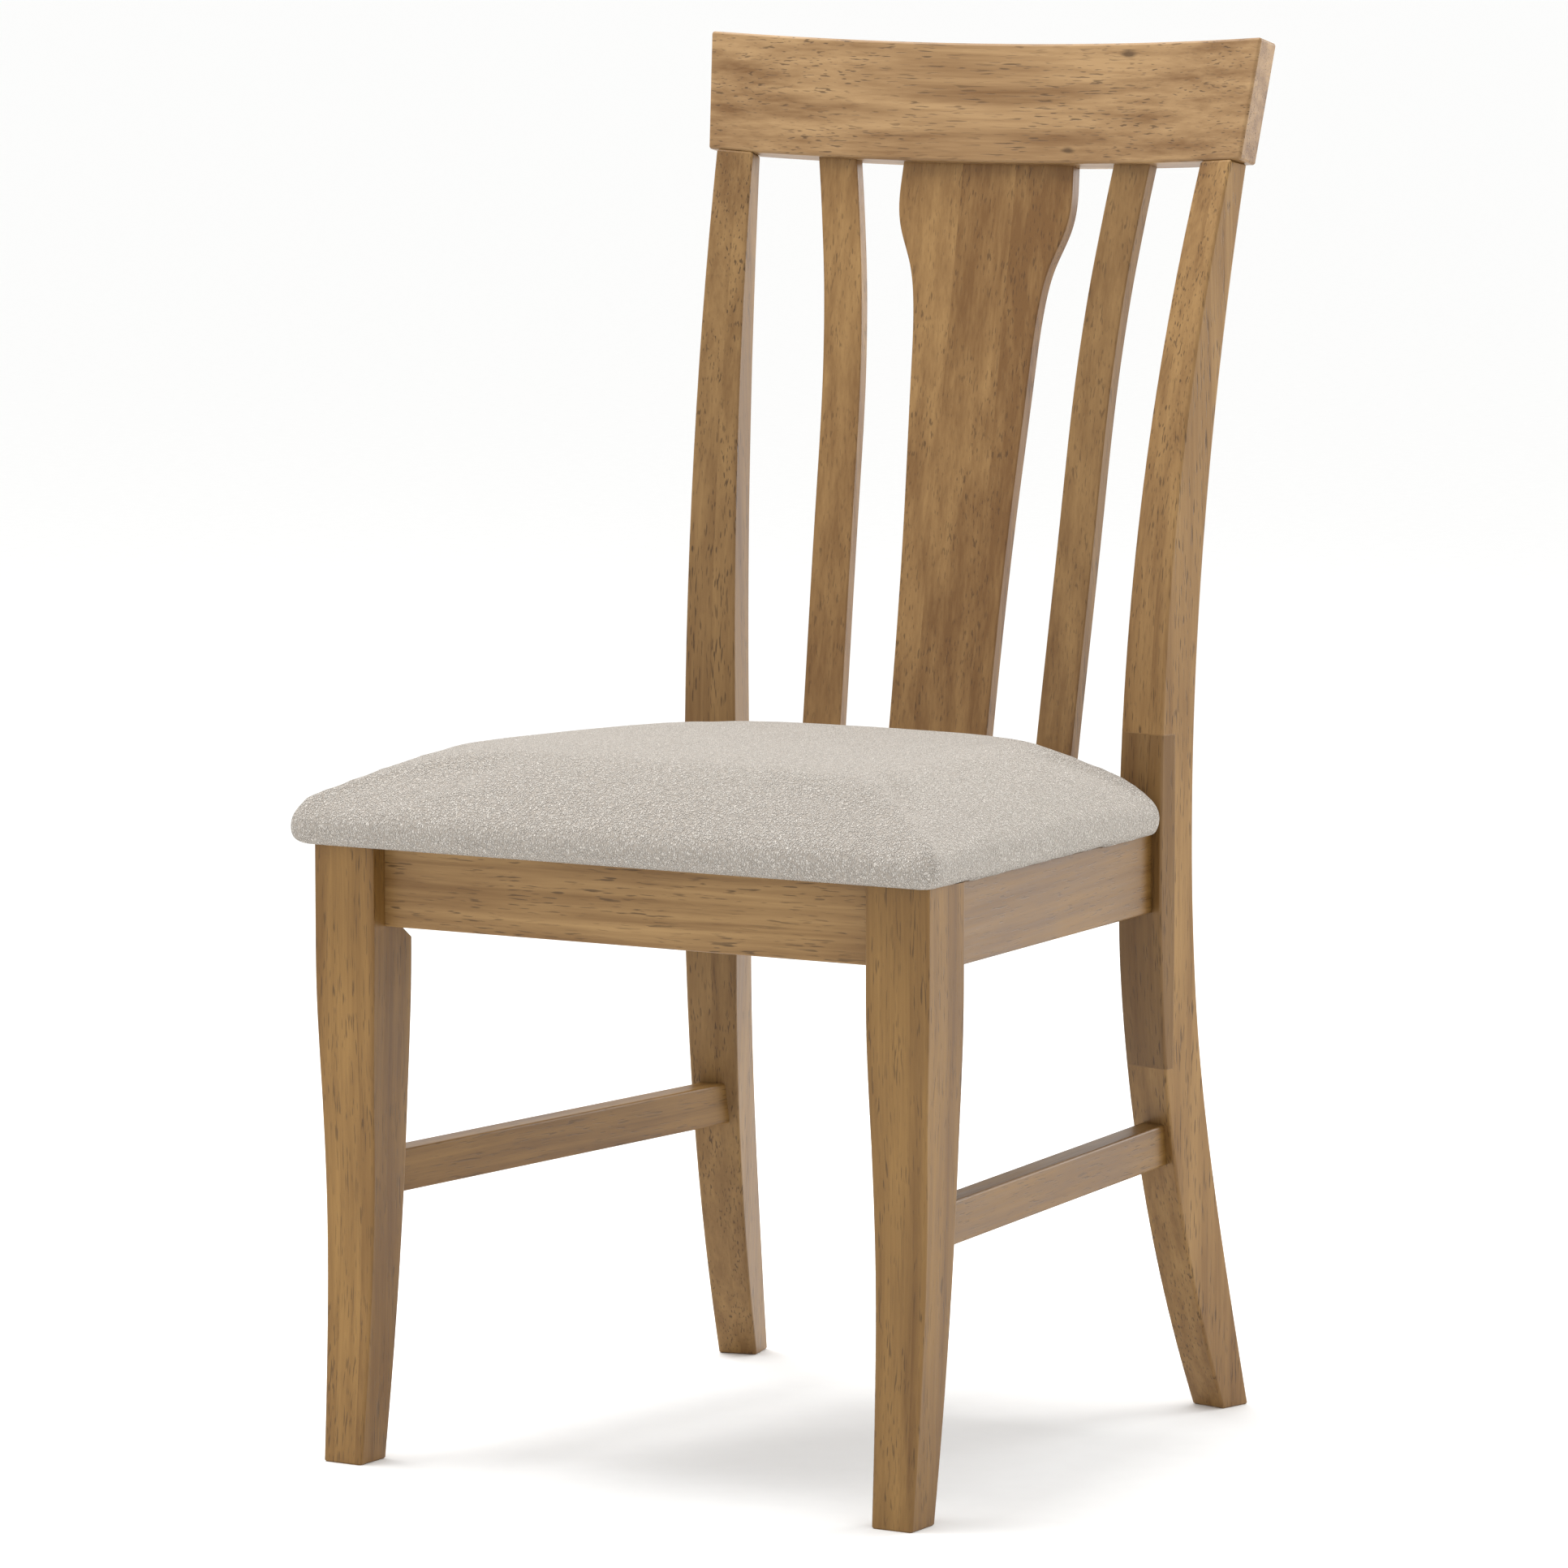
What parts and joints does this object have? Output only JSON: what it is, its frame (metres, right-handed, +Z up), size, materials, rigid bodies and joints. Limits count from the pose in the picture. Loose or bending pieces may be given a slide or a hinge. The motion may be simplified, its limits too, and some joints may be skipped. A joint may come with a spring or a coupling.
{
  "type": "dining chair",
  "caption": "Wooden dining chair with a bent crest rail, a vase-shaped splat between two slats, curved rear posts and a padded fabric seat.",
  "frame": {"origin": "on the floor, under the middle of the chair's bounding box", "axes": "+Z up, -Y the way the sitter faces, +X towards the right-hand pieces as seen from the front"},
  "size_m": [0.5246, 0.5807, 1.0151],
  "materials": {
    "wood": "clear satin lacquer on light brown hardwood with fine dark pores",
    "hardwood": "unfinished, as the inner blocks and dowels are",
    "plywood": "unfinished plywood",
    "tweed": "chunky oatmeal weave",
    "foam": "open-cell polyurethane foam",
    "cambric": "black non-woven dust cloth",
    "steel": "bright zinc plate"
  },
  "bodies": {
    "root": {"bolt_nuts": "steel", "bolt_washers": "steel", "centre_splat": "wood", "corner_block_screws": "steel", "crest_rail": "wood", "dust_cover": "cambric", "frame_dowels": "hardwood", "front_corner_block_left": "hardwood", "front_corner_block_right": "hardwood", "front_leg_left": "wood", "front_leg_right": "wood", "front_seat_rail": "wood", "hanger_bolts": "steel", "rear_corner_block_left": "hardwood", "rear_corner_block_right": "hardwood", "rear_post_left": "wood", "rear_post_right": "wood", "rear_seat_rail": "wood", "seat_board": "plywood", "seat_cover": "tweed", "seat_fixing_screws": "steel", "seat_foam": "foam", "side_seat_rail_left": "wood", "side_seat_rail_right": "wood", "side_slat_left": "wood", "side_slat_right": "wood", "side_stretcher_left": "wood", "side_stretcher_right": "wood"}
  },
  "joints": []
}
